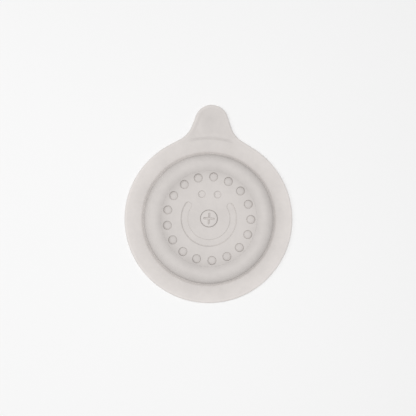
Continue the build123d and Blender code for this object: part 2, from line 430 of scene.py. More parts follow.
def carried(bm, corner, centre, turn, steps):
    """Carries a corner round a centre, which draws an arc, and gives the corner at its end."""
    made = spun(bm, [corner], turn, steps, centre.to_3d())
    return next(item for item in made["geom_last"] if isinstance(item, bmesh.types.BMVert))


def loop_through(corner):
    """The edges of the closed loop that a corner lies on."""
    first = corner.link_edges[0]
    found = [first]
    corner = first.other_vert(corner)
    edge = next(edge for edge in corner.link_edges if edge is not first)
    while edge is not first:
        found.append(edge)
        corner = edge.other_vert(corner)
        edge = next(other for other in corner.link_edges if other is not edge)
    return found


def bridged(bm, loops):
    """Joins closed loops of edges, each to the next, and gives the last one."""
    for near, far in zip(loops, loops[1:]):
        bmesh.ops.bridge_loops(bm, edges=near + far)
    return loops[-1]


def walled(bm, circles, centre=(0, 0), steps=HOLE_STEPS):
    """Joins level circles, given by radius and height, and gives the last one's edges."""
    loops = []
    for radius, height in circles:
        place = Matrix.Translation((centre[0], centre[1], height))
        made = bmesh.ops.create_circle(bm, segments=steps, radius=radius, matrix=place)
        loops.append(loop_through(made["verts"][0]))
    return bridged(bm, loops)


def capped(bm, loop):
    """Closes a loop with one flat face."""
    bmesh.ops.contextual_create(bm, geom=loop)


def is_level(part, height):
    """Whether all corners of an edge or a face lie at a height."""
    return all(abs(vert.co.z - height) < MERGE_DISTANCE for vert in part.verts)


def filled_level(bm, height):
    """Fills the level surface between all open loops at a height."""
    edges = [edge for edge in bm.edges if len(edge.link_faces) < 2 and is_level(edge, height)]
    bmesh.ops.triangle_fill(bm, use_beauty=True, edges=edges)


def gridded(bm, height, step):
    """Cuts the level faces at a height into small cells, so that they can be shaped."""
    bm.normal_update()
    faces = [face for face in bm.faces if is_level(face, height)]
    edges = list(dict.fromkeys(edge for face in faces for edge in face.edges))
    verts = list(dict.fromkeys(vert for face in faces for vert in face.verts))
    geometry = faces + edges + verts
    for axis in (0, 1):
        low = min(vert.co[axis] for vert in verts)
        high = max(vert.co[axis] for vert in verts)
        normal = Vector((axis == 0, axis == 1, 0))
        for place in spaced(low, high, round((high - low) / step))[1:-1]:
            cut = bmesh.ops.bisect_plane(
                bm, geom=geometry, dist=MERGE_DISTANCE, plane_co=normal * place, plane_no=normal
            )
            geometry = cut["geom"]


def moved_up(bm, rise):
    """Lifts each corner by what a function of its place says."""
    for vert in bm.verts:
        vert.co.z += rise(vert.co)


def dish_height(radius, plate):
    """The height of the upper side between the plate's flat middle and the bead's crest."""
    flat = plate_radius - plate.rise_width
    rise = crest_height - plate.face_height
    return plate.face_height + rise * eased((radius - flat) / (crest_radius - flat), plate.rise_middle)


class TabPlan:
    """The tab's outline seen from above, worked out from its sizes."""

    def __init__(self, tab):
        self.web_angle = tab.web_angle
        self.web_side = bearing(tab.web_angle)
        self.flank_side = Vector((math.cos(tab.flank_angle), math.sin(tab.flank_angle)))
        self.tip_radius = tab.tip_radius
        self.tip_centre = Vector((0, tab_reach - tab.tip_radius))
        self.tip_start = self.tip_centre + self.flank_side * tab.tip_radius
        self.fillet = tab.web_fillet
        # The fillet's centre lies one fillet radius outside both the web's and the flank's line.
        web_reach = rim_radius + self.fillet
        flank_reach = self.tip_start.dot(self.flank_side) + self.fillet
        sides = Matrix((self.web_side, self.flank_side))
        self.fillet_centre = sides.inverted() @ Vector((web_reach, flank_reach))
        self.web_end = self.fillet_centre - self.web_side * self.fillet
        self.flank_start = self.fillet_centre - self.flank_side * self.fillet
        self.fillet_angle = math.atan2(self.web_end.x, self.web_end.y)

    def inset(self, point):
        """How far a point lies inside the outline, seen from above."""
        place = Vector((abs(point.x), point.y))
        if place.y > self.tip_start.y:
            return self.tip_radius - (place - self.tip_centre).length
        if place.y > self.flank_start.y:
            return (self.tip_start - place).dot(self.flank_side)
        if place.y > self.web_end.y:
            return (self.fillet_centre - place).length - self.fillet
        if math.atan2(place.x, place.y) < self.web_angle:
            return rim_radius - place.dot(self.web_side)
        return rim_radius - place.length

    def on_fillet(self, along):
        """The point of the right-hand fillet at a distance along the tab's line."""
        off = math.sqrt(self.fillet**2 - (self.fillet_centre.y - along) ** 2)
        return Vector((self.fillet_centre.x - off, along))

    def edge_at(self, turn):
        """The outline's point on a bearing, and the outline's outward direction there."""
        ray = bearing(turn)
        if turn > self.fillet_angle:
            return ray * (rim_radius / math.cos(self.web_angle - turn)), self.web_side
        middle = ray.dot(self.fillet_centre)
        off = math.sqrt(middle**2 - self.fillet_centre.length_squared + self.fillet**2)
        point = ray * (middle - off)
        return point, (self.fillet_centre - point) / self.fillet


def follow_webs(bm, skirt, plan):
    """Draws the rim out to the tab's webs. What lies past the hinge line is cut off later."""
    start = rim_radius - skirt.fine_zone
    last = plan.on_fillet(hinge_reach + 2 * skirt.rim_round)
    last_turn = math.atan2(last.x, last.y)
    last_edge, last_side = plan.edge_at(last_turn)
    last_inner = last_edge - last_side * skirt.rim_round
    for vert in bm.verts:
        radius = off_axis(vert.co)
        turn = abs(math.atan2(vert.co.x, vert.co.y))
        if radius < start or turn > plan.web_angle:
            continue
        if turn > last_turn:
            edge, side = plan.edge_at(turn)
            inner = edge - side * skirt.rim_round
        else:
            part = turn / last_turn
            edge = Vector((last_edge.x * part, last_edge.y))
            inner = Vector((last_inner.x * part, last_inner.y))
        inset = rim_radius - radius
        if inset < skirt.rim_round:
            place = edge.lerp(inner, inset / skirt.rim_round)
        else:
            part = (radius - start) / (skirt.fine_zone - skirt.rim_round)
            place = bearing(turn, start).lerp(inner, part)
        vert.co.x = math.copysign(place.x, vert.co.x)
        vert.co.y = place.y


def skirt_section(skirt):
    """The skirt's closed section: groove, flange, rounded rim, land, ribs and underside."""
    rim_height = top_of("sealing_flange")
    slope_end = groove_radius + skirt.groove_slope
    slope_rise = skirt.flange_height - groove_height
    land_edge = rim_radius - skirt.land_width
    fine_start = rim_radius - skirt.fine_zone
    lean = (rim_height - skirt.flange_height) / (land_edge - slope_end)
    points = [
        (
            groove_radius + skirt.groove_slope * part,
            groove_height + slope_rise * eased(part, skirt.slope_middle),
        )
        for part in spaced(0, 1, 16)
    ]
    outward = spaced(slope_end, fine_start, 8)[1:]
    outward += spaced(fine_start, rim_radius - skirt.rim_round, 24)[1:]
    for radius in outward:
        points.append((radius, min(skirt.flange_height + lean * (radius - slope_end), rim_height)))
    rounding = skirt.rim_round
    rim = arc(rim_radius - rounding, rim_height - rounding, rounding, rounding, 90, 0, RIM_STEPS)
    points += rim[1:]
    foot = skirt.foot_round
    points += arc(rim_radius - foot, foot, foot, foot, 0, -90, FOOT_STEPS)
    points += [(land_edge, 0), (land_edge - underside_height, underside_height)]
    for place in (skirt.second_rib, skirt.first_rib):
        middle = groove_radius + place * (rim_radius - groove_radius)
        points += arc(middle, underside_height, underside_height, underside_height, 0, -180, 8)
    points.append((groove_radius, underside_height))
    return points


def mark_edge(piece, plan, width):
    """Notes on each corner of a piece how near to the stopper's outline it lies, from 0 to 1."""
    # The note places the painted highlight along the outline
    nearness = piece.data.attributes.new("edge", "FLOAT", "POINT")
    for vert, note in zip(piece.data.vertices, nearness.data):
        note.value = 1 - flat_share(plan.inset(vert.co), 0, width)


def press_crease(bm, tab):
    """Presses the crease into the skirt's top, dying out at both ends."""
    middle = rim_radius - tab.crease_inset
    floor_limit = top_of("sealing_flange") / 2
    for vert in bm.verts:
        across = abs(off_axis(vert.co) - middle) / tab.crease_half_width
        turn = abs(math.atan2(vert.co.x, vert.co.y))
        if across > 1 or turn > tab.crease_angle + tab.crease_fade or vert.co.z < floor_limit:
            continue
        along = 1 - eased((turn - tab.crease_angle) / tab.crease_fade + 0.5)
        vert.co.z -= tab.crease_depth * (1 - across) ** CREASE_POWER * along


class STOPPER_OT_make_skirt(bpy.types.Operator):
    """Models the sealing skirt with its groove, rim, ribs, webs and crease"""

    bl_idname = "stopper.make_skirt"
    bl_label = "Make Skirt"

    def execute(self, context):
        skirt = context.scene.stopper_skirt
        tab = context.scene.stopper_tab
        plan = TabPlan(tab)
        bm = turned(skirt_section(skirt))
        bmesh.ops.remove_doubles(bm, verts=bm.verts, dist=MERGE_DISTANCE)
        follow_webs(bm, skirt, plan)
        press_crease(bm, tab)
        bmesh.ops.bisect_plane(
            bm,
            geom=bm.verts[:] + bm.edges[:] + bm.faces[:],
            dist=MERGE_DISTANCE,
            plane_co=(0, hinge_reach, 0),
            plane_no=(0, 1, 0),
            clear_outer=True,
        )
        bmesh.ops.holes_fill(bm, edges=[edge for edge in bm.edges if edge.is_boundary])
        piece = finished(bm, "skirt", silicone(context))
        mark_edge(piece, plan, context.scene.stopper_look.edge_width)
        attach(piece, "skirt")
        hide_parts("sealing_flange")
        return {"FINISHED"}


def tab_outline(bm, plan, tab):
    """Draws the tab's outline past the hinge line: one side by arcs, the other mirrored."""
    corner = plan.on_fillet(hinge_reach)
    root = bm.verts.new((0, hinge_reach, 0))
    last = bm.verts.new(corner.to_3d())
    bm.edges.new((root, last))
    sweep = (corner - plan.fillet_centre).angle_signed(plan.flank_start - plan.fillet_centre)
    last = carried(bm, last, plan.fillet_centre, -sweep, 18)
    flank_end = bm.verts.new(plan.tip_start.to_3d())
    bm.edges.new((last, flank_end))
    carried(bm, flank_end, plan.tip_centre, math.radians(90) - tab.flank_angle, 30)
    bmesh.ops.mirror(
        bm, geom=bm.verts[:] + bm.edges[:], axis="X", merge_dist=MERGE_DISTANCE, matrix=Matrix()
    )
    bmesh.ops.remove_doubles(bm, verts=bm.verts, dist=MERGE_DISTANCE)


def round_tab_edge(bm, level, size, segments):
    """Rounds the tab's outer edge at one level, and leaves the edge at its root sharp."""
    past_root = hinge_reach + MERGE_DISTANCE
    edges = [
        edge
        for edge in bm.edges
        if is_level(edge, level) and any(vert.co.y > past_root for vert in edge.verts)
    ]
    bmesh.ops.bevel(
        bm,
        geom=edges,
        offset=size,
        offset_type="OFFSET",
        segments=segments,
        profile=0.5,
        affect="EDGES",
        material=-1,
    )


class STOPPER_OT_make_tab(bpy.types.Operator):
    """Models the pull tab with its lip and thumb hollow"""

    bl_idname = "stopper.make_tab"
    bl_label = "Make Tab"

    def execute(self, context):
        skirt = context.scene.stopper_skirt
        tab = context.scene.stopper_tab
        plan = TabPlan(tab)
        height = top_of("pull_tab")
        bm = bmesh.new()
        tab_outline(bm, plan, tab)
        capped(bm, bm.edges[:])
        made = bmesh.ops.extrude_face_region(bm, geom=bm.faces[:])
        upper = [item for item in made["geom"] if isinstance(item, bmesh.types.BMVert)]
        bmesh.ops.translate(bm, verts=upper, vec=(0, 0, height))
        round_tab_edge(bm, height, skirt.rim_round, RIM_STEPS)
        round_tab_edge(bm, 0, skirt.foot_round, FOOT_STEPS)
        gridded(bm, height, tab.grid)
        gridded(bm, 0, tab.grid)

        def hollow(point):
            """How the tab's top goes down inside its lip and at the thumb's place."""
            if point.z < height - MERGE_DISTANCE:
                return 0
            inset = plan.inset(point) - skirt.rim_round
            lip = tab.lip_depth * eased(inset / tab.lip_width)
            lip *= eased((point.y - hinge_reach) / tab.root_fade)
            spread = off_axis((point.x, point.y - plan.tip_centre.y)) / tab.hollow_radius
            return -lip - tab.hollow_depth * (1 - min(spread, 1) ** 2) ** 2

        moved_up(bm, hollow)
        piece = finished(bm, "tab", silicone(context))
        mark_edge(piece, plan, context.scene.stopper_look.edge_width)
        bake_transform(piece)
        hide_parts("pull_tab")
        return {"FINISHED"}


def bead_base(skirt):
    """The height at which the bead's flank stands upright, above the groove's fillet."""
    return groove_height + skirt.groove_foot


def bead_flank(skirt, inset, count, upper):
    """The bead's elliptical flank, or its inner side, above or below the seam with the web."""
    base = bead_base(skirt)
    half_width = groove_radius - skirt.groove_foot - crest_radius - inset
    rise = crest_height - base - inset
    seam = math.degrees(math.asin((split_height - base) / rise))
    start, end = (seam, 90) if upper else (0, seam)
    return arc(crest_radius, base, half_width, rise, start, end, count)


class STOPPER_OT_make_web(bpy.types.Operator):
    """Models the bead's thin outer wall, which flexes when the middle is pressed"""

    bl_idname = "stopper.make_web"
    bl_label = "Make Web"

    def execute(self, context):
        skirt = context.scene.stopper_skirt
        wall = context.scene.stopper_bead.wall
        base, foot = bead_base(skirt), skirt.groove_foot
        section = arc(groove_radius, base, foot, foot, 270, 180, 8)
        section += bead_flank(skirt, 0, FLANK_STEPS, upper=False)[1:]
        section += reversed(bead_flank(skirt, wall, FLANK_STEPS, upper=False))
        section += [(web_inner_radius, height) for height in spaced(base, underside_height, 4)[1:]]
        section.append((groove_radius, underside_height))
        piece = finished(turned(section), "web", silicone(context))
        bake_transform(piece)
        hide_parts("flex_web")
        return {"FINISHED"}


class STOPPER_OT_make_bead(bpy.types.Operator):
    """Models the bead's crown and inner slope, and the leg that holds the plate"""

    bl_idname = "stopper.make_bead"
    bl_label = "Make Bead"

    def execute(self, context):
        skirt = context.scene.stopper_skirt
        bead = context.scene.stopper_bead
        plate = context.scene.stopper_plate
        edge = bead.seam_round
        leg_radius = seam_radius + bead.wall
        leg_base = base_of("bead_ring")
        shoulder = seam_radius + edge
        seam_top = dish_height(shoulder, plate)
        section = bead_flank(skirt, 0, FLANK_STEPS, upper=True)
        for radius in spaced(crest_radius, shoulder, 20)[1:]:
            section.append((radius, dish_height(radius, plate)))
        section += arc(shoulder, seam_top - edge, edge, edge, 90, 180, EDGE_STEPS)[1:]
        section += [(seam_radius, leg_base), (leg_radius, leg_base)]
        section += [(leg_radius, seam_top - bead.wall)]
        section += reversed(bead_flank(skirt, bead.wall, 16, upper=True))
        piece = finished(turned(section), "bead", silicone(context))
        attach(piece, "core")
        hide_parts("bead_ring")
        return {"FINISHED"}


def hole_places(plate):
    """The centres of the plate's ring of holes."""
    step = math.tau / plate.hole_count
    turns = [plate.hole_phase + number * step for number in range(plate.hole_count)]
    return [bearing(turn, plate_radius - plate.hole_inset) for turn in turns]


def slot_loop(bm, plate, growth, height):
    """The C-shaped groove's outline, grown by some amount, at a height."""
    opening = plate.groove_opening
    sweep = math.tau - 2 * opening
    axis = Vector((0, 0))
    side = plate.groove_width / 2 + growth
    first = bm.verts.new((*bearing(opening, plate.groove_ring + side), height))
    last = carried(bm, first, axis, -sweep, GROOVE_STEPS)
    last = carried(bm, last, bearing(-opening, plate.groove_ring), -math.pi, GROOVE_END_STEPS)
    last = carried(bm, last, axis, sweep, GROOVE_STEPS)
    last = carried(bm, last, bearing(opening, plate.groove_ring), -math.pi, GROOVE_END_STEPS)
    bmesh.ops.weld_verts(bm, targetmap={last: first})
    return loop_through(first)


def make_c_groove(bm, plate):
    """The C-shaped groove's walls and floor, with the fine line along its outside."""
    floor = plate.face_height - plate.groove_depth
    wall = edge_rounding(plate.groove_round, plate.face_height)
    wall += [(0, floor), (-plate.line_width / 2, floor), (-plate.line_width, floor)]
    loops = [slot_loop(bm, plate, growth, height) for growth, height in wall]
    for vert in {vert for edge in loops[-2] for vert in edge.verts}:
        outward = (off_axis(vert.co) - plate.groove_ring) / (plate.groove_width / 2)
        vert.co.z -= plate.line_depth * eased(outward)
    capped(bm, bridged(bm, loops))


def make_holes(bm, plate):
    """The walls of the round holes, through the plate."""
    wall = hole_edge(plate.hole_radius, plate.hole_round, plate.face_height)
    upright = spaced(plate.face_height - plate.hole_round, plate_base, 5)[1:]
    wall += [(plate.hole_radius, height) for height in upright]
    for place in hole_places(plate):
        walled(bm, wall, place)


def make_dimples(bm, plate):
    """The two small recesses, each a hollow that is deepest near its wall."""
    radius, edge = plate.dimple_radius, plate.hole_round
    top, depth = plate.face_height - edge, plate.dimple_depth - edge
    middle = plate.dimple_middle
    wall = hole_edge(radius, edge, plate.face_height)
    for part in spaced(1, CAP_SHARE, 10)[1:]:
        sunk = (1 - part**4) * (middle + (1 - middle) * part**2)
        wall.append((radius * part, top - depth * sunk))
    for turn in (-plate.dimple_angle, plate.dimple_angle):
        capped(bm, walled(bm, wall, bearing(turn, plate.dimple_ring)))


def make_well(bm, plate):
    """The screw's well, its hole and the room for the clamping disc's boss."""
    shank_hole = min(radii("face_plate"))
    boss_hole = boss_radius + plate.boss_clearance
    well_floor, boss_top = base_of("sealing_washer"), top_of("clamp_disc")
    wall = hole_edge(plate.well_radius, plate.well_round, plate.face_height)
    wall += [(plate.well_radius, well_floor), (shank_hole, well_floor)]
    wall += [(shank_hole, boss_top), (boss_hole, boss_top), (boss_hole, plate_base)]
    walled(bm, wall)


class STOPPER_OT_make_plate(bpy.types.Operator):
    """Models the face plate with its holes, small recesses, C-shaped groove and well"""

    bl_idname = "stopper.make_plate"
    bl_label = "Make Plate"

    def execute(self, context):
        plate = context.scene.stopper_plate
        seam_round = context.scene.stopper_bead.seam_round
        top = plate.face_height
        edge_radius = seam_radius - plate.seam_gap
        bm = bmesh.new()
        make_c_groove(bm, plate)
        rim = disc_edge(edge_radius, seam_round, top)
        rim += [(edge_radius, height) for height in spaced(top - seam_round, plate_base, 4)[1:]]
        walled(bm, rim, steps=SEAM_STEPS)
        make_holes(bm, plate)
        make_dimples(bm, plate)
        make_well(bm, plate)
        filled_level(bm, top)
        filled_level(bm, plate_base)
        gridded(bm, top, plate.grid)

        def rim_rise(point):
            """How the plate's top goes up towards its edge, and with it what lies below."""
            rise = dish_height(off_axis(point), plate) - top
            return rise * (point.z - plate_base) / (top - plate_base)

        moved_up(bm, rim_rise)
        piece = finished(bm, "plate", plate_plastic(context))
        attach(piece, "core")
        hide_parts("face_plate")
        return {"FINISHED"}


class STOPPER_OT_make_floor(bpy.types.Operator):
    """Models the silicone floor, with a low crowned stud in each hole"""

    bl_idname = "stopper.make_floor"
    bl_label = "Make Floor"

    def execute(self, context):
        plate = context.scene.stopper_plate
        floor = context.scene.stopper_floor
        top, base = top_of("silicone_floor"), base_of("silicone_floor")
        boss_hole = min(radii("silicone_floor"))
        bm = bmesh.new()
        walled(bm, [(seam_radius, top), (seam_radius, base)], steps=SEAM_STEPS)
        walled(bm, [(boss_hole, top), (boss_hole, base)])
        radius = plate.hole_radius - floor.stud_clearance
        edge = plate.face_height - floor.stud_drop
        stud = [(radius, top)]
        for part in spaced(1, CAP_SHARE, 8):
            stud.append((radius * part, edge + floor.stud_crown * (1 - part**3)))
        for place in hole_places(plate):
            capped(bm, walled(bm, stud, place))
        filled_level(bm, top)
        filled_level(bm, base)
        piece = finished(bm, "floor_sheet", silicone(context))
        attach(piece, "core")
        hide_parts("silicone_floor")
        return {"FINISHED"}


class STOPPER_OT_make_clamp(bpy.types.Operator):
    """Models the clamping disc and the brass insert in its boss"""

    bl_idname = "stopper.make_clamp"
    bl_label = "Make Clamp"

    def execute(self, context):
        edge = context.scene.stopper_fastener.edge_round
        foot = 2 * edge
        radius = max(radii("clamp_disc"))
        base, boss_top = base_of("clamp_disc"), top_of("clamp_disc")
        top = base_of("silicone_floor")
        section = [(insert_radius, boss_top)]
        section += arc(boss_radius - edge, boss_top - edge, edge, edge, 90, 0, EDGE_STEPS)
        section += [(boss_radius, top)]
        section += arc(radius - edge, top - edge, edge, edge, 90, 0, EDGE_STEPS)
        section += arc(radius - foot, base + foot, foot, foot, 0, -90, 6)
        section += [(insert_radius, base)]
        disc = finished(turned(section), "clamp", clamp_plastic(context))
        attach(disc, "core")
        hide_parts("clamp_disc")
        bore = min(radii("threaded_insert"))
        section = [
            (bore + edge, boss_top),
            (insert_radius, boss_top),
            (insert_radius, base),
            (bore + edge, base),
            (bore, base + edge),
            (bore, boss_top - edge),
        ]
        insert = finished(turned(section), "insert", turned_brass(context))
        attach(insert, "core")
        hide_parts("threaded_insert")
        return {"FINISHED"}


def cross_loop(bm, reach, side, height, turn):
    """The cross recess's outline at a height: one round-ended arm, carried round to four."""
    earlier = set(bm.verts)
    start = bm.verts.new((side, side, height))
    outer = bm.verts.new((reach - side, side, height))
    bm.edges.new((start, outer))
    inner = carried(bm, outer, Vector((reach - side, 0)), -math.pi, 8)
    end = bm.verts.new((side, -side, height))
    bm.edges.new((inner, end))
    arm = [vert for vert in bm.verts if vert not in earlier]
    edges = list(dict.fromkeys(edge for vert in arm for edge in vert.link_edges))
    spun(bm, arm + edges, math.radians(270), 3, use_duplicate=True)
    corners = [vert for vert in bm.verts if vert not in earlier]
    bmesh.ops.remove_doubles(bm, verts=corners, dist=MERGE_DISTANCE)
    corners = [vert for vert in corners if vert.is_valid]
    bmesh.ops.rotate(bm, verts=corners, cent=(0, 0, 0), matrix=Matrix.Rotation(turn, 3, "Z"))
    return loop_through(corners[0])


def make_cross(bm, fastener, top):
    """The walls and floor of the cross recess in the screw's head."""
    half_width, depth = fastener.cross_half_width, fastener.cross_depth
    wall = edge_rounding(fastener.cross_round, top, 3)
    wall += [(-fastener.middle_taper * half_width, top - depth / 2)]
    wall += [(-fastener.floor_taper * half_width, top - depth)]
    loops = [
        cross_loop(bm, fastener.cross_reach + growth, half_width + growth, height, fastener.cross_turn)
        for growth, height in wall
    ]
    capped(bm, bridged(bm, loops))


def make_shank(bm, fastener, top, base, head_radius):
    """The side of the screw's head, and below it the thread and its chamfered end."""
    tip = base_of("centre_screw")
    radius, chamfer, pitch = fastener.shank_radius, fastener.tip_chamfer, fastener.thread_pitch
    side = disc_edge(head_radius, fastener.head_round, top, 6)
    side += [(head_radius, base), (radius, base)]
    for number in range(int((base - tip - 2 * chamfer) / pitch)):
        crest = base - chamfer - number * pitch
        side += [(radius, crest), (radius - fastener.thread_depth, crest - pitch / 2)]
    side += [(radius, tip + chamfer), (radius - chamfer, tip)]
    capped(bm, walled(bm, side, steps=HEAD_STEPS))


class STOPPER_OT_make_fasteners(bpy.types.Operator):
    """Models the cross-recessed screw and the washer under its head"""

    bl_idname = "stopper.make_fasteners"
    bl_label = "Make Fasteners"

    def execute(self, context):
        fastener = context.scene.stopper_fastener
        head_radius = max(radii("centre_screw"))
        base, top = base_of("sealing_washer"), top_of("sealing_washer")
        head_top = top + fastener.head_height
        bm = bmesh.new()
        make_cross(bm, fastener, head_top)
        make_shank(bm, fastener, head_top, top, head_radius)
        filled_level(bm, head_top)
        gridded(bm, head_top, fastener.grid)

        def crown(point):
            """How the head's top goes up towards its middle, and with it what lies below."""
            if point.z < top + MERGE_DISTANCE:
                return 0
            part = (point.z - top) / fastener.head_height
            return fastener.head_crown * (1 - (off_axis(point) / head_radius) ** 2) * part

        moved_up(bm, crown)
        screw = finished(bm, "screw", screw_plastic(context))
        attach(screw, "core")
        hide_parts("centre_screw")
        inner, outer = min(radii("sealing_washer")), max(radii("sealing_washer"))
        edge = fastener.edge_round
        section = arc(outer - edge, top - edge, edge, edge, 90, 0, EDGE_STEPS)
        section += arc(outer - edge, base + edge, edge, edge, 0, -90, EDGE_STEPS)
        section += [(inner, base), (inner, top)]
        # No side shows the washer, so it keeps the packed part's plain rubber.
        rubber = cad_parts["sealing_washer"].data.materials[0]
        washer = finished(turned(section), "washer", rubber)
        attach(washer, "core")
        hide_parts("sealing_washer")
        return {"FINISHED"}


class Wire:
    """A node's output that can be used in sums: each operator adds its Math node."""

    def __init__(self, finish, socket):
        self.finish = finish
        self.socket = socket

    def sum(self, operation, first, second):
        settings = {"operation": operation}
        return self.finish.node("ShaderNodeMath", settings, {0: first, 1: second})

    def __add__(self, other):
        return self.sum("ADD", self, other)

    def __radd__(self, other):
        return self.sum("ADD", other, self)

    def __sub__(self, other):
        return self.sum("SUBTRACT", self, other)

    def __rsub__(self, other):
        return self.sum("SUBTRACT", other, self)

    def __mul__(self, other):
        return self.sum("MULTIPLY", self, other)

    def __rmul__(self, other):
        return self.sum("MULTIPLY", other, self)


class Finish:
    """A material in the making: its nodes, its place on the piece and its shader."""

    def __init__(self, name):
        self.material = bpy.data.materials.new(name)
        self.material.use_nodes = True
        self.tree = self.material.node_tree
        self.shader = self.tree.nodes["Principled BSDF"]
        self.place = self.node("ShaderNodeTexCoord", output="Object")

    def node(self, kind, settings=None, sockets=None, output=0):
        """Adds a node: its settings first, then the values or links of its sockets."""
        made = self.tree.nodes.new(kind)
        for setting, value in (settings or {}).items():
            setattr(made, setting, value)
        for socket, value in (sockets or {}).items():
            self.feed(made.inputs[socket], value)
        return Wire(self, made.outputs[output])

    def feed(self, socket, value):
        """Links a wire to a socket, or sets the socket's own value."""
        if isinstance(value, Wire):
            self.tree.links.new(value.socket, socket)
        else:
            socket.default_value = value

    def noise(self, scale, detail, roughness=0.5):
        """Soft noise from 0 to 1 over the piece, with so many features to the metre."""
        sockets = {"Vector": self.place, "Scale": scale, "Detail": detail, "Roughness": roughness}
        return self.node("ShaderNodeTexNoise", {"noise_dimensions": "3D"}, sockets)

    def mask(self, value, low, high):
        """A smooth step: 0 below low and 1 above high."""
        sockets = {"Value": value, "From Min": low, "From Max": high}
        return self.node("ShaderNodeMapRange", {"interpolation_type": "SMOOTHSTEP"}, sockets)

    def band(self, value, start, peak, end):
        """A soft band: 0 below its start, 1 at its peak and 0 again above its end."""
        return self.mask(value, start, peak) * (1 - self.mask(value, peak, end))

    def line(self, value, middle, spread):
        """A soft line: 1 at its middle, and 0 past its spread on each side."""
        return self.band(value, middle - spread, middle, middle + spread)

    def blend(self, factor, first, second):
        """A colour between two others."""
        settings = {"data_type": "RGBA", "clamp_factor": True}
        return self.node("ShaderNodeMix", settings, {0: factor, 6: first, 7: second}, output=2)

    def tint(self, colour_now, factor):
        """A colour made lighter or darker."""
        sockets = {0: colour_now, "Scale": factor}
        return self.node("ShaderNodeVectorMath", {"operation": "SCALE"}, sockets)

    def distance(self, along=0):
        """The distance from an upright line at a place on the tab's line, seen from above."""
        flat = {0: self.place, 1: (1, 1, 0)}
        flat = self.node("ShaderNodeVectorMath", {"operation": "MULTIPLY"}, flat)
        ends = {0: flat, 1: (0, along, 0)}
        return self.node("ShaderNodeVectorMath", {"operation": "DISTANCE"}, ends, output="Value")

    def bump(self, height, depth):
        """Surface relief of a depth in metres."""
        return self.node("ShaderNodeBump", None, {"Height": height, "Distance": depth})

    def surface(self, **sockets):
        """Feeds the shader's sockets and gives the finished material."""
        for name, value in sockets.items():
            self.feed(self.shader.inputs[name.replace("_", " ")], value)
        return self.material


# Each noise's features to the metre and its detail, and the grain's detail and roughness
MOTTLE_NOISE = (55, 3)
PATCH_NOISE = (260, 2)
RIPPLE_NOISE = (420, 1)
TARNISH_NOISE = (900, 3)
LINT_NOISE = (1500, 1)
TURNING_NOISE = (9000, 1)
FLOOR_NOISE = (3, 2)
GRAIN = (2, 0.6)

# How fine the grain of each moulded finish is, in features to the metre
SILICONE_GRAIN = 5200
PLATE_GRAIN = 7000
CLAMP_GRAIN = 6400
SCREW_GRAIN = 7400

# Where in its noise each pattern begins and is full
MOTTLE_RANGE = (0.3, 0.7)
LINT_RANGE = (0.74, 0.8)
TARNISH_RANGE = (0.45, 0.7)
FLOOR_RANGE = (0.2, 0.8)

# What the patterns do to tone, roughness and relief
PATCH_SHARE = 0.4
RIPPLE_SHARE = 0.25
LINT_STRENGTH = 0.35
LINT_LIGHTNESS = 1.35
LINT_RELIEF = 0.2
LINT_ROUGHNESS = 0.08
MOTTLE_ROUGHNESS = 0.1
TARNISH_ROUGHNESS = 0.2
TARNISH_STRENGTH = 0.5
TARNISH_DARKNESS = 0.6
FLOOR_MOTTLE = 0.005

# What is the same all over a finish
MOULDED_IOR = 1.43
BRASS_ROUGHNESS = 0.28
FLOOR_ROUGHNESS = 0.6


def tinted(base, factor):
    """A colour made lighter or darker, with its alpha."""
    return (*(min(part * factor, 1.0) for part in base), 1.0)


def mottled(finish, pattern, base, strength):
    """A colour that a pattern makes a little darker here and a little lighter there."""
    return finish.blend(pattern, tinted(base, 1 - strength), tinted(base, 1 + strength))


def silicone_shade(finish, reach, look, crease_inset):
    """Painted shade in the groove, the crease and the thumb hollow, less painted light on the rim and
    its edge.
    """
    along = finish.node("ShaderNodeSeparateXYZ", None, {0: finish.place}, output="Y")
    # Painted light on the outer rim, and a share of it on the tab
    glow = look.rim_painted_light * finish.mask(reach, look.painted_light_start, rim_radius)
    glow *= 1 - (1 - look.tab_painted_light) * finish.mask(along, crest_radius, hinge_reach)
    # Painted highlight along the rounded outer edge, placed by each corner's edge note
    edge = finish.node("ShaderNodeAttribute", {"attribute_name": "edge"}, output="Fac")
    glow += look.edge_painted_highlight * finish.mask(edge, 0.0, 1.0)
    # Painted shade in the groove, along the crease and in the thumb hollow
    groove = finish.line(reach, groove_radius, look.groove_spread)
    middle, side = rim_radius - crease_inset, look.crease_side
    crease = finish.line(reach, middle, look.crease_spread)
    crease *= 1 - finish.mask(finish.distance(middle), side / 2, side)
    thumb = 1 - finish.mask(finish.distance(look.hollow_shade_place), 0.0, look.hollow_shade_spread)
    return look.groove_painted_shade * groove + look.hollow_painted_shade * thumb + look.crease_painted_shade * crease - glow


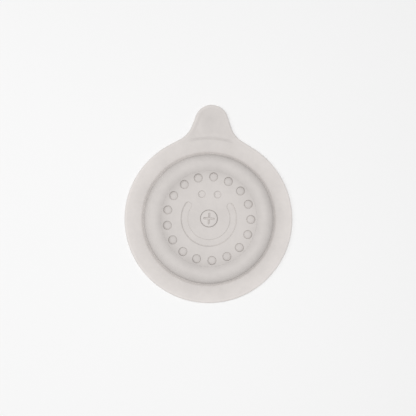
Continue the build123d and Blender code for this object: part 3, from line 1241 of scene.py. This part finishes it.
def moulded(context, name, base, roughness, grain, thin=False):
    """A moulded finish: broad mottle, fine grain, pale lint and painted shade in the dish, on one
    colour.
    """
    if name in bpy.data.materials:
        return bpy.data.materials[name]
    look = context.scene.stopper_look
    finish = Finish(name)
    mottle = (1 - PATCH_SHARE) * finish.noise(*MOTTLE_NOISE) + PATCH_SHARE * finish.noise(*PATCH_NOISE)
    colour_now = mottled(finish, finish.mask(mottle, *MOTTLE_RANGE), base, look.mottle)
    reach = finish.distance()
    # Painted shade in the dish's low ring, on every moulded finish
    shade = look.dish_painted_shade * finish.band(reach, look.dish_start, seam_radius, crest_radius)
    # The silicone also gets painted shade in its groove, crease and thumb hollow, and painted light on
    # its rim
    if thin:
        shade += silicone_shade(finish, reach, look, context.scene.stopper_tab.crease_inset)
    colour_now = finish.tint(colour_now, 1 - shade)
    lint = finish.mask(finish.noise(*LINT_NOISE), *LINT_RANGE)
    colour_now = finish.blend(lint * LINT_STRENGTH, colour_now, tinted(base, LINT_LIGHTNESS))
    relief = (1 - RIPPLE_SHARE) * finish.noise(grain, *GRAIN)
    relief += RIPPLE_SHARE * finish.noise(*RIPPLE_NOISE) + LINT_RELIEF * lint
    smoothest = roughness - MOTTLE_ROUGHNESS / 2
    return finish.surface(
        Base_Color=colour_now,
        Roughness=smoothest + MOTTLE_ROUGHNESS * mottle + LINT_ROUGHNESS * lint,
        Normal=finish.bump(relief, look.grain_depth),
        IOR=MOULDED_IOR,
    )


def silicone(context):
    """Matte moulded silicone in a warm light grey."""
    look = context.scene.stopper_look
    roughness = look.silicone_roughness
    return moulded(context, "matte_silicone", look.silicone, roughness, SILICONE_GRAIN, thin=True)


def plate_plastic(context):
    """The face plate's satin plastic."""
    look = context.scene.stopper_look
    return moulded(context, "satin_plate", look.plate, look.plate_roughness, PLATE_GRAIN)


def clamp_plastic(context):
    """The clamping disc's satin plastic."""
    look = context.scene.stopper_look
    return moulded(context, "satin_clamp", look.plate, look.plate_roughness, CLAMP_GRAIN)


def screw_plastic(context):
    """The screw's satin plastic."""
    look = context.scene.stopper_look
    return moulded(context, "satin_screw", look.screw, look.plate_roughness, SCREW_GRAIN)


def turned_brass(context):
    """Brass with fine turning marks and a little tarnish."""
    look = context.scene.stopper_look
    finish = Finish("turned_brass")
    tarnish = finish.mask(finish.noise(*TARNISH_NOISE), *TARNISH_RANGE)
    bright, dark = tinted(look.brass, 1), tinted(look.brass, TARNISH_DARKNESS)
    return finish.surface(
        Base_Color=finish.blend(tarnish * TARNISH_STRENGTH, bright, dark),
        Roughness=BRASS_ROUGHNESS + TARNISH_ROUGHNESS * tarnish,
        Normal=finish.bump(finish.noise(*TURNING_NOISE), look.grain_depth / 2),
        Metallic=1.0,
    )


def plain_floor(context):
    """The stage floor's plain pale finish."""
    finish = Finish("plain_floor")
    tone = finish.mask(finish.noise(*FLOOR_NOISE), *FLOOR_RANGE)
    colour_now = mottled(finish, tone, context.scene.stopper_stage.floor_colour, FLOOR_MOTTLE)
    return finish.surface(Base_Color=colour_now, Roughness=FLOOR_ROUGHNESS)


def add_light(name, place, power, size):
    """A square soft light that faces the stopper."""
    data = bpy.data.lights.new(name, "AREA")
    data.energy = power
    data.size = size
    light = linked(name, data)
    light.location = place
    light.rotation_euler = (-Vector(place)).to_track_quat("-Z", "Y").to_euler()


def add_sky(scene, strength):
    """An even white light from all round."""
    world = bpy.data.worlds.new("studio")
    world.use_nodes = True
    background = world.node_tree.nodes["Background"]
    background.inputs["Color"].default_value = (1, 1, 1, 1)
    background.inputs["Strength"].default_value = strength
    scene.world = world


def add_camera(scene, stage):
    """The camera, almost straight above the stopper."""
    lens = bpy.data.cameras.new("photo_camera")
    lens.lens = stage.focal_length
    camera = linked("photo_camera", lens)
    turn = Matrix()
    for amount, axis in zip(stage.camera_turn, "XYZ"):
        turn = turn @ Matrix.Rotation(amount, 4, axis)
    camera.matrix_world = Matrix.Translation(stage.camera_place) @ turn
    scene.camera = camera


class STOPPER_OT_set_stage(bpy.types.Operator):
    """Sets the plain floor, the soft lights and the camera above the stopper"""

    bl_idname = "stopper.set_stage"
    bl_label = "Set Stage"

    def execute(self, context):
        scene = context.scene
        stage = scene.stopper_stage
        bm = bmesh.new()
        bmesh.ops.create_grid(bm, x_segments=4, y_segments=4, size=stage.floor_size / 2)
        floor = linked_mesh(bm, "floor", plain_floor(context))
        away = math.cos(stage.key_height) * stage.key_distance
        up = math.sin(stage.key_height) * stage.key_distance
        add_light("key", (*bearing(stage.key_bearing, away), up), stage.key_power, stage.key_size)
        add_light("top", (0, 0, stage.top_distance), stage.top_power, stage.top_size)
        add_sky(scene, stage.sky)
        add_camera(scene, stage)
        scene.view_settings.view_transform = "Standard"
        return {"FINISHED"}


class STOPPER_PT_workshop(bpy.types.Panel):
    """Lists the stopper's operators and sizes in the sidebar"""

    bl_label = "Drain Stopper"
    bl_idname = "STOPPER_PT_workshop"
    bl_space_type = "VIEW_3D"
    bl_region_type = "UI"
    bl_category = "Stopper"

    def draw(self, context):
        for operator in operators:
            self.layout.operator(operator.bl_idname)
        for name, group in property_groups.items():
            box = self.layout.box()
            box.label(text=group.__doc__)
            for setting in group.__annotations__:
                box.prop(getattr(context.scene, name), setting)


property_groups = {
    "stopper_skirt": SkirtSizes,
    "stopper_tab": TabSizes,
    "stopper_bead": BeadSizes,
    "stopper_plate": PlateSizes,
    "stopper_floor": FloorSizes,
    "stopper_fastener": FastenerSizes,
    "stopper_look": StopperLook,
    "stopper_stage": StageSettings,
}
operators = (
    STOPPER_OT_make_skirt,
    STOPPER_OT_make_tab,
    STOPPER_OT_make_web,
    STOPPER_OT_make_bead,
    STOPPER_OT_make_plate,
    STOPPER_OT_make_floor,
    STOPPER_OT_make_clamp,
    STOPPER_OT_make_fasteners,
    STOPPER_OT_set_stage,
)


def register():
    for name, group in property_groups.items():
        bpy.utils.register_class(group)
        setattr(bpy.types.Scene, name, PointerProperty(type=group))
    for operator in operators:
        bpy.utils.register_class(operator)
    bpy.utils.register_class(STOPPER_PT_workshop)


def unregister():
    bpy.utils.unregister_class(STOPPER_PT_workshop)
    for operator in reversed(operators):
        bpy.utils.unregister_class(operator)
    for name, group in reversed(property_groups.items()):
        delattr(bpy.types.Scene, name)
        bpy.utils.unregister_class(group)


def main():
    register()
    bpy.ops.stopper.make_skirt()
    bpy.ops.stopper.make_tab()
    bpy.ops.stopper.make_web()
    bpy.ops.stopper.make_bead()
    bpy.ops.stopper.make_plate()
    bpy.ops.stopper.make_floor()
    bpy.ops.stopper.make_clamp()
    bpy.ops.stopper.make_fasteners()
    bpy.ops.stopper.set_stage()


if __name__ == "__main__":
    main()
